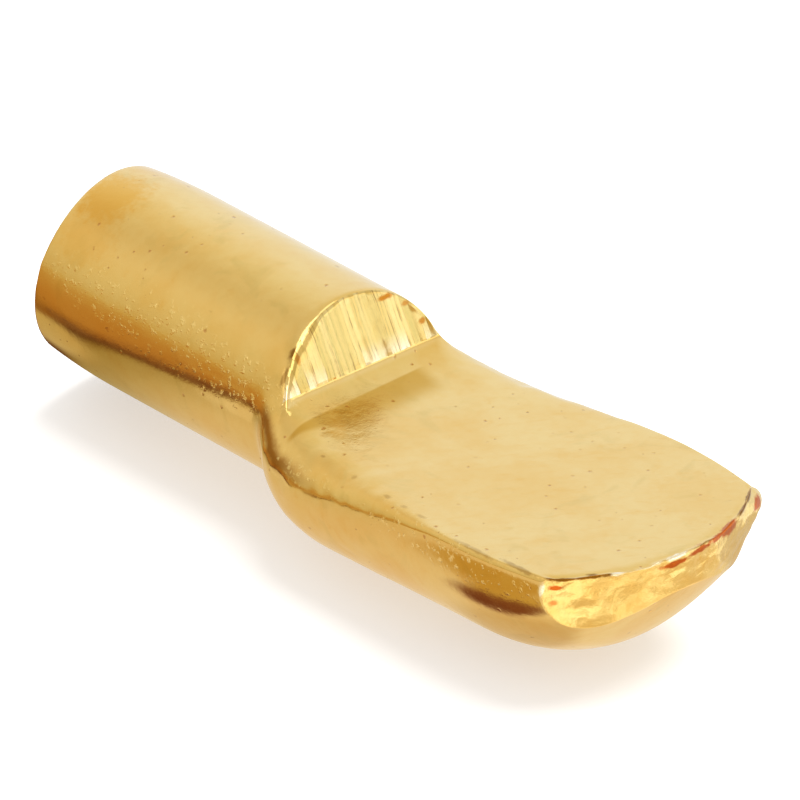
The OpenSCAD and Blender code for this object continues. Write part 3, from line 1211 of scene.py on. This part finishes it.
def broach_facets(tree, line, crowding):
    """Flat strips side by side, each with its own slope: their height, a shine that sets how lit
    each strip is painted, and their joints.
    """
    inputs = {"W": line, "Scale": crowding}
    strips = place(tree, "ShaderNodeTexVoronoi", inputs, voronoi_dimensions="1D")
    slope, chance, _ = split_colour(tree, strips.outputs["Color"])
    across = maths(tree, "SUBTRACT", line, strips.outputs["W"])
    height = times(tree, across, maths(tree, "SUBTRACT", slope, 0.5))
    shine = ranged(tree, chance, 0.35, 0.65)
    joints = place(
        tree, "ShaderNodeTexVoronoi", inputs, voronoi_dimensions="1D", feature="DISTANCE_TO_EDGE")
    return height, shine, ranged(tree, joints.outputs["Distance"], 0.07, 0.0)


def sheared_material(finish, effects):
    """Plating over the shoulder face, which the punch burnished in lines."""
    material, tree, shader = new_material("pin_sheared")
    position = pin_position(tree)
    tone = effect(
        tree, effects, "tone", Position=position, Clean=finish.brass, Warm=finish.ochre,
        Amount=0.15,
    )
    _, across, height = split(tree, position)
    line = maths(tree, "MULTIPLY_ADD", height, math.tan(BROACH_LEAN), across)
    line = maths(tree, "MULTIPLY_ADD", noise(tree, position, 1.1, 2.0), 0.12, line)
    broad, shine, broad_edge = broach_facets(tree, line, 2.3)
    fine, _, fine_edge = broach_facets(tree, line, 5.2)
    across_lines = combined(tree, times(tree, line, 1.2))
    # Painted shade: olive bands across the broach strips, lighter on the shiny ones
    painted_shade_bands = ranged(tree, noise(tree, across_lines, 1.0, 3.0, 0.6), 0.40, 0.54)
    painted_shade_bands = maths(tree, "MULTIPLY_ADD", shine, -0.3, painted_shade_bands)
    tone = overlaid(tree, tone, painted_shade_bands, finish.olive)
    # Painted highlights on the shiny strips towards the face's foot
    foot = times(tree, ranged(tree, height, 1.7, 0.9), shine)
    tone = overlaid(tree, tone, foot, finish.painted_highlight, strength=0.7)
    dark_line = maths(tree, "MAXIMUM", broad_edge, times(tree, fine_edge, 0.7))
    fading = ranged(tree, noise(tree, position, 1.6, 3.0), 0.42, 0.62)
    tone = overlaid(tree, tone, times(tree, dark_line, fading), finish.shade, strength=0.7)
    tone = overlaid(tree, tone, marks(tree, effects, position, FACE_RUST), finish.face_rust)
    tree.links.new(tone, shader.inputs["Base Color"])
    rough = effect(
        tree, effects, "patches", Position=position, Scale=3.0,
        Bright=finish.sheared_roughness - 0.05, Dull=finish.sheared_roughness + 0.05,
    )
    tree.links.new(rough, shader.inputs["Roughness"])
    raise_bumps(tree, shader, (broad, 0.20), (fine, 0.34))
    return material


def torn_material(finish, effects):
    """Plating over torn metal, at the trimmed tip and the cropped end."""
    material, tree, shader = new_material("pin_torn")
    position = pin_position(tree)
    tone = effect(
        tree, effects, "tone", Position=position, Cloud_Scale=1.2, Clean=finish.brass,
        Warm=finish.ochre, Amount=0.4,
    )
    tone = tip_marks(tree, effects, position, finish, tone)
    tree.links.new(tone, shader.inputs["Base Color"])
    shader.inputs["Roughness"].default_value = finish.torn_roughness
    coarse = effect(
        tree, effects, "peel", Position=position, Peel_Scale=4.6, Grain_Scale=14.0,
        Grain_Share=0.45,
    )
    raise_bumps(tree, shader, (coarse, 0.014))
    return material


MATERIALS = {
    "pin_skin": skin_material, "pin_sheared": sheared_material, "pin_torn": torn_material,
}


# Studio

# Brightness and tint of the surroundings by the sine of the elevation: the room on the near side
ROOM = [
    (-1.0, (0.90, 0.74, 0.60)), (-0.10, (0.62, 0.42, 0.16)), (0.0, (0.70, 0.56, 0.30)),
    (0.12, (0.76, 0.65, 0.42)), (0.32, (0.84, 0.72, 0.48)), (0.56, (0.89, 0.76, 0.54)),
    (0.76, (0.77, 0.66, 0.46)), (1.0, (0.84, 0.74, 0.56)),
]
# The white tent on the far side
TENT = [
    (-1.0, (0.95, 0.82, 0.76)), (0.0, (0.98, 0.98, 0.98)), (0.5, (1.0, 1.0, 1.06)),
    (0.8, (0.91, 0.83, 0.64)), (1.0, (0.84, 0.74, 0.52)),
]
TENT_AT = (math.radians(105), math.radians(18))
TENT_EDGES = (0.2, 0.75)
# A lit panel to the right: its middle, half width and height, and how soft its edges are
PANEL_AZIMUTH = math.radians(38)
PANEL_HALF_WIDTH = math.radians(6)
PANEL_RISE = (-0.42, -0.30, 0.12, 0.22)
PANEL_LIGHT = 0.80
PANEL_SOFTNESS = math.radians(24)
# Lamps that only edges and grains catch: azimuth, elevation and radius in degrees, and brightness
GLINTS = [
    (-36, 42, 13, 1.5), (-35, 69, 12, 1.5), (-105, 27, 6, 0.4), (-8, 55, 9, 1.0),
    (62, 74, 9, 0.8),
]
GLINT_SOFTNESS = math.radians(4)
# What the brass mirrors of the bench, by the distance along the pin in millimetres
BENCH = [
    (-90.0, (0.68, 0.50, 0.21)), (-30.0, (0.60, 0.36, 0.11)), (-18.0, (0.55, 0.28, 0.07)),
    (-13.0, (0.53, 0.26, 0.065)), (-10.7, (0.40, 0.18, 0.05)), (-9.9, (0.23, 0.095, 0.035)),
    (-8.6, (0.18, 0.07, 0.03)), (-8.0, (0.40, 0.26, 0.09)), (-7.2, (0.60, 0.47, 0.24)),
    (-5.0, (0.78, 0.65, 0.44)), (4.0, (0.84, 0.66, 0.44)), (10.0, (0.88, 0.72, 0.50)),
    (15.0, (0.95, 0.80, 0.58)), (24.0, (0.98, 0.86, 0.66)),
]
# Nearer the pin, the bench's dark edge lies further back, and from there to the neck it is dimmer
BENCH_NEAR = (-9.0, -5.0)
BENCH_NEAR_SHIFT = 2.7
BENCH_DIM = (0.69, 0.64, 0.46)
BENCH_DIM_TO = (-1.5, -6.0)
# On the far side it turns white
BENCH_WHITE = (0.97, 0.98, 1.0)
BENCH_WHITE_FROM = (3.0, 9.0)
# Things that lie on the bench, and the dark one under the tip at (9.6, -5.15), which is the pin's
# painted shadow: middle, half sizes and brightness
BENCH_THINGS = [
    ((9.8, -6.2), (2.4, 1.2), (0.64, 0.42, 0.12)),
    ((9.6, -5.15), (2.7, 0.85), (0.23, 0.08, 0.035)),
    ((10.4, -2.9), (3.2, 1.6), (0.74, 0.57, 0.35)),
    ((1.0, -20.0), (9.0, 6.0), (0.90, 0.72, 0.42)),
    ((-13.0, -23.0), (6.0, 6.0), (0.66, 0.46, 0.17)),
    ((-5.5, -9.0), (2.5, 2.5), (0.86, 0.72, 0.52)),
    ((8.0, -8.7), (4.4, 2.9), (0.62, 0.39, 0.10)),
    ((21.0, 4.4), (2.0, 2.8), (1.6, 1.6, 1.4)),
    ((13.0, 9.0), (4.5, 3.5), (0.78, 0.66, 0.48)),
    ((-12.8, -6.3), (1.8, 0.6), (0.24, 0.11, 0.045)),
    ((-12.3, -3.4), (2.8, 1.9), (0.62, 0.47, 0.22)),
]
# Ahead of the tip it is patchy: scale of the patches, their darkest and brightest
BENCH_PATCHY_FROM = (16.2, 17.4)
BENCH_PATCHES = (0.36, (0.95, 0.86, 0.68), (1.8, 1.9, 2.0))
# What all but mirrored rays meet, and the floor's own faint tooth
AROUND = (0.9, 0.9, 0.9)
FLOOR_TOOTH = 0.03
FLOOR_TOOTH_COLOUR = (0.85, 0.85, 0.85)
FLOOR_SIDES = 96
# The lamp over the pin, in metres and watts
LAMP_AT = (0.10, 0.25, 0.75)
LAMP_SIZE = 0.7
LAMP_POWER = 9.0
# The camera's sensor in millimetres, and how near and how far it sees in metres
SENSOR_WIDTH = 36
CLIP = (0.01, 20)


def direction(azimuth, elevation):
    """The unit vector that points that way."""
    level = math.cos(elevation)
    return (level * math.cos(azimuth), level * math.sin(azimuth), math.sin(elevation))


def colour_ramp(tree, value, stops):
    """A ramp of colours, each given with the value where it stands."""
    low, high = stops[0][0], stops[-1][0]
    inputs = {"Value": value, "From Min": low, "From Max": high}
    share_along = place(tree, "ShaderNodeMapRange", inputs).outputs["Result"]
    node = place(tree, "ShaderNodeValToRGB", {0: share_along})
    ramp = node.color_ramp
    while len(ramp.elements) < len(stops):
        ramp.elements.new(0.5)
    for element, (at, rgb) in zip(ramp.elements, stops):
        element.position = (at - low) / (high - low)
        element.color = (*rgb, 1)
    return node.outputs[0]


def facing(tree, looking, towards, edges):
    """1 where the direction is towards a place, easing to 0 away from it."""
    cosine = vector_maths(tree, "DOT_PRODUCT", looking, direction(*towards), output="Value")
    return ranged(tree, cosine, *edges)


def panel_light(tree, looking, height):
    """Brightness of the lit panel and the small lamps, by the direction looked in."""
    compass = vector_maths(tree, "NORMALIZE", vector_maths(tree, "MULTIPLY", looking, (1, 1, 0)))
    edges = (math.cos(PANEL_HALF_WIDTH + PANEL_SOFTNESS), math.cos(PANEL_HALF_WIDTH))
    beside = facing(tree, compass, (PANEL_AZIMUTH, 0), edges)
    light = times(tree, beside, between(tree, height, *PANEL_RISE), PANEL_LIGHT)
    for *angles, glow in GLINTS:
        azimuth, elevation, radius = map(math.radians, angles)
        edges = (math.cos(radius + GLINT_SOFTNESS), math.cos(radius))
        glint = facing(tree, looking, (azimuth, elevation), edges)
        light = maths(tree, "MULTIPLY_ADD", glint, glow, light)
    return light


def light_room(scene):
    """Soft surroundings: a warm room, a white tent behind, and a bright panel to the right."""
    world = bpy.data.worlds.new("studio_room")
    scene.world = world
    world.use_nodes = True
    tree = world.node_tree
    tree.nodes.clear()
    looking = place(tree, "ShaderNodeTexCoord").outputs["Generated"]
    height = split(tree, looking)[2]
    room = colour_ramp(tree, height, ROOM)
    tent = colour_ramp(tree, height, TENT)
    lit = blend_colour(tree, facing(tree, looking, TENT_AT, TENT_EDGES), room, tent)
    panel = panel_light(tree, looking, height)
    white = place(tree, "ShaderNodeCombineColor", {0: panel, 1: panel, 2: panel}).outputs[0]
    lit = blend_colour(tree, 1.0, lit, white, "ADD")
    shiny = place(tree, "ShaderNodeLightPath").outputs["Is Glossy Ray"]
    seen = blend_colour(tree, shiny, AROUND, lit)
    background = place(tree, "ShaderNodeBackground", {0: seen, 1: 1.0})
    place(tree, "ShaderNodeOutputWorld", {0: background.outputs[0]})


def add_lamp(scene):
    """A large soft lamp aimed at the pin; it lights the floor and isn't mirrored in the brass."""
    lamp = bpy.data.lights.new("soft_top", "AREA")
    lamp.shape = "DISK"
    lamp.size = LAMP_SIZE
    lamp.energy = LAMP_POWER
    holder = bpy.data.objects.new("soft_top", lamp)
    holder.location = LAMP_AT
    holder.rotation_euler = (-Vector(LAMP_AT)).to_track_quat("-Z", "Y").to_euler()
    holder.visible_glossy = False
    scene.collection.objects.link(holder)


def add_floor(scene, studio, height):
    """A plain pale floor under the pin; the brass mirrors it as a warm bench."""
    radius = studio.floor_r
    turn = np.linspace(0, 2 * math.pi, FLOOR_SIDES, endpoint=False)
    rim = [(radius * math.cos(a), radius * math.sin(a), height) for a in turn]
    mesh = bpy.data.meshes.new("studio_floor")
    mesh.from_pydata(rim, [], [list(range(len(rim)))])
    floor = bpy.data.objects.new("studio_floor", mesh)
    scene.collection.objects.link(floor)
    mesh.materials.append(floor_material(studio))


def bench_colour(tree, position):
    """What the brass mirrors of the bench under it."""
    along, across, _ = split(tree, position)
    near = ranged(tree, across, *BENCH_NEAR)
    along = maths(tree, "MULTIPLY_ADD", near, BENCH_NEAR_SHIFT, along)
    bench = colour_ramp(tree, along, BENCH)
    dim = times(tree, near, ranged(tree, along, *BENCH_DIM_TO))
    bench = blend_colour(tree, dim, bench, BENCH_DIM, "MULTIPLY")
    bench = blend_colour(tree, ranged(tree, across, *BENCH_WHITE_FROM), bench, BENCH_WHITE)
    scale, darkest, brightest = BENCH_PATCHES
    patches = ranged(tree, noise(tree, position, scale, 1.0), 0.38, 0.62)
    patches = blend_colour(tree, patches, darkest, brightest)
    bench = blend_colour(tree, ranged(tree, along, *BENCH_PATCHY_FROM), bench, patches, "MULTIPLY")
    for middle, half, light in BENCH_THINGS:
        away = vector_maths(tree, "SUBTRACT", position, (*middle, CAD_LOW.z / MM))
        away = length_of(tree, vector_maths(tree, "DIVIDE", away, (*half, 1)))
        bench = blend_colour(tree, ranged(tree, away, 1.15, 0.6), bench, light)
    return bench


def floor_material(studio):
    """Pale paper to the camera, and the bench to mirrored rays."""
    material, tree, shader = new_material("floor_paper", metallic=0.0)
    position = pin_position(tree)
    tooth = times(tree, noise(tree, position, 0.6, 2.0), FLOOR_TOOTH)
    shade = blend_colour(tree, tooth, studio.floor_colour, FLOOR_TOOTH_COLOUR)
    tree.links.new(shade, shader.inputs["Base Color"])
    shader.inputs["Roughness"].default_value = 0.9
    shader.inputs["Specular IOR Level"].default_value = 0.1
    shader.inputs["Emission Color"].default_value = (1, 1, 1, 1)
    shader.inputs["Emission Strength"].default_value = studio.floor_glow
    mirrored = place(tree, "ShaderNodeEmission", {0: bench_colour(tree, position), 1: 1.0})
    shiny = place(tree, "ShaderNodeLightPath").outputs["Is Glossy Ray"]
    inputs = {0: shiny, 1: shader.outputs[0], 2: mirrored.outputs[0]}
    both = place(tree, "ShaderNodeMixShader", inputs)
    out = next(n for n in tree.nodes if n.type == "OUTPUT_MATERIAL")
    tree.links.new(both.outputs[0], out.inputs["Surface"])
    return material


def add_camera(scene, studio):
    """A long lens where the studio's settings put it."""
    camera = bpy.data.cameras.new("studio_camera")
    camera.lens = studio.lens / MM
    camera.sensor_width = SENSOR_WIDTH
    camera.clip_start, camera.clip_end = CLIP
    forward = Vector(direction(studio.camera_azimuth, -studio.camera_fall))
    level = forward.cross(Vector((0, 0, 1))).normalized()
    lift = level.cross(forward)
    right = level * math.cos(studio.camera_roll) + lift * math.sin(studio.camera_roll)
    up = right.cross(forward)
    axes = Matrix((right, up, -forward)).transposed().to_4x4()
    holder = bpy.data.objects.new("studio_camera", camera)
    holder.matrix_world = Matrix.Translation(Vector(studio.camera_at)) @ axes
    scene.collection.objects.link(holder)
    scene.camera = holder


# Operators


class PIN_OT_form(bpy.types.Operator):
    """Builds the plated pin over its solid"""

    bl_idname = "shelf_pin.form"
    bl_label = "Build the Pin"

    def execute(self, context):
        pin = context.scene.shelf_pin
        form = PinForm(pin.sizes)
        mesh, materials = build_pin_mesh(form, pin.wear)
        effects = {name: build() for name, build in EFFECTS.items()}
        effects["tip"] = tip_edge_group(effects, form)
        for name in materials:
            mesh.materials.append(MATERIALS[name](pin.finish, effects))
        piece = bpy.data.objects.new("plated_shelf_pin", mesh)
        context.scene.collection.objects.link(piece)
        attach(piece, "root")
        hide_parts("shelf_pin")
        return {"FINISHED"}


class PIN_OT_studio(bpy.types.Operator):
    """Builds the floor, the soft light and the camera"""

    bl_idname = "shelf_pin.studio"
    bl_label = "Build the Studio"

    def execute(self, context):
        scene = context.scene
        studio = scene.shelf_pin.studio
        scene.view_settings.view_transform = "Standard"
        light_room(scene)
        add_floor(scene, studio, CAD_LOW.z)
        add_lamp(scene)
        add_camera(scene, studio)
        return {"FINISHED"}


class ShelfPinSettings(bpy.types.PropertyGroup):
    """All that a user can change"""

    sizes: PointerProperty(type=PinSizes)
    wear: PointerProperty(type=PinWear)
    finish: PointerProperty(type=PinFinish)
    studio: PointerProperty(type=PinStudio)


class PIN_PT_panel(bpy.types.Panel):
    """Lists the pin's sizes, wear, finish and studio"""

    bl_idname = "PIN_PT_panel"
    bl_label = "Shelf Pin"
    bl_space_type = "VIEW_3D"
    bl_region_type = "UI"
    bl_category = "Shelf Pin"

    def draw(self, context):
        settings = context.scene.shelf_pin
        layout = self.layout
        for title in ("sizes", "wear", "finish", "studio"):
            box = layout.box()
            box.label(text=title.capitalize())
            part = getattr(settings, title)
            for name in type(part).__annotations__:
                box.prop(part, name)
        layout.operator(PIN_OT_form.bl_idname)
        layout.operator(PIN_OT_studio.bl_idname)


CLASSES = (
    PinSizes, PinWear, PinFinish, PinStudio, ShelfPinSettings, PIN_OT_form, PIN_OT_studio,
    PIN_PT_panel,
)


def register():
    for cls in CLASSES:
        bpy.utils.register_class(cls)
    bpy.types.Scene.shelf_pin = PointerProperty(type=ShelfPinSettings)


def unregister():
    del bpy.types.Scene.shelf_pin
    for cls in reversed(CLASSES):
        bpy.utils.unregister_class(cls)


def main():
    register()
    bpy.ops.shelf_pin.studio()
    bpy.ops.shelf_pin.form()


if __name__ == "__main__":
    main()
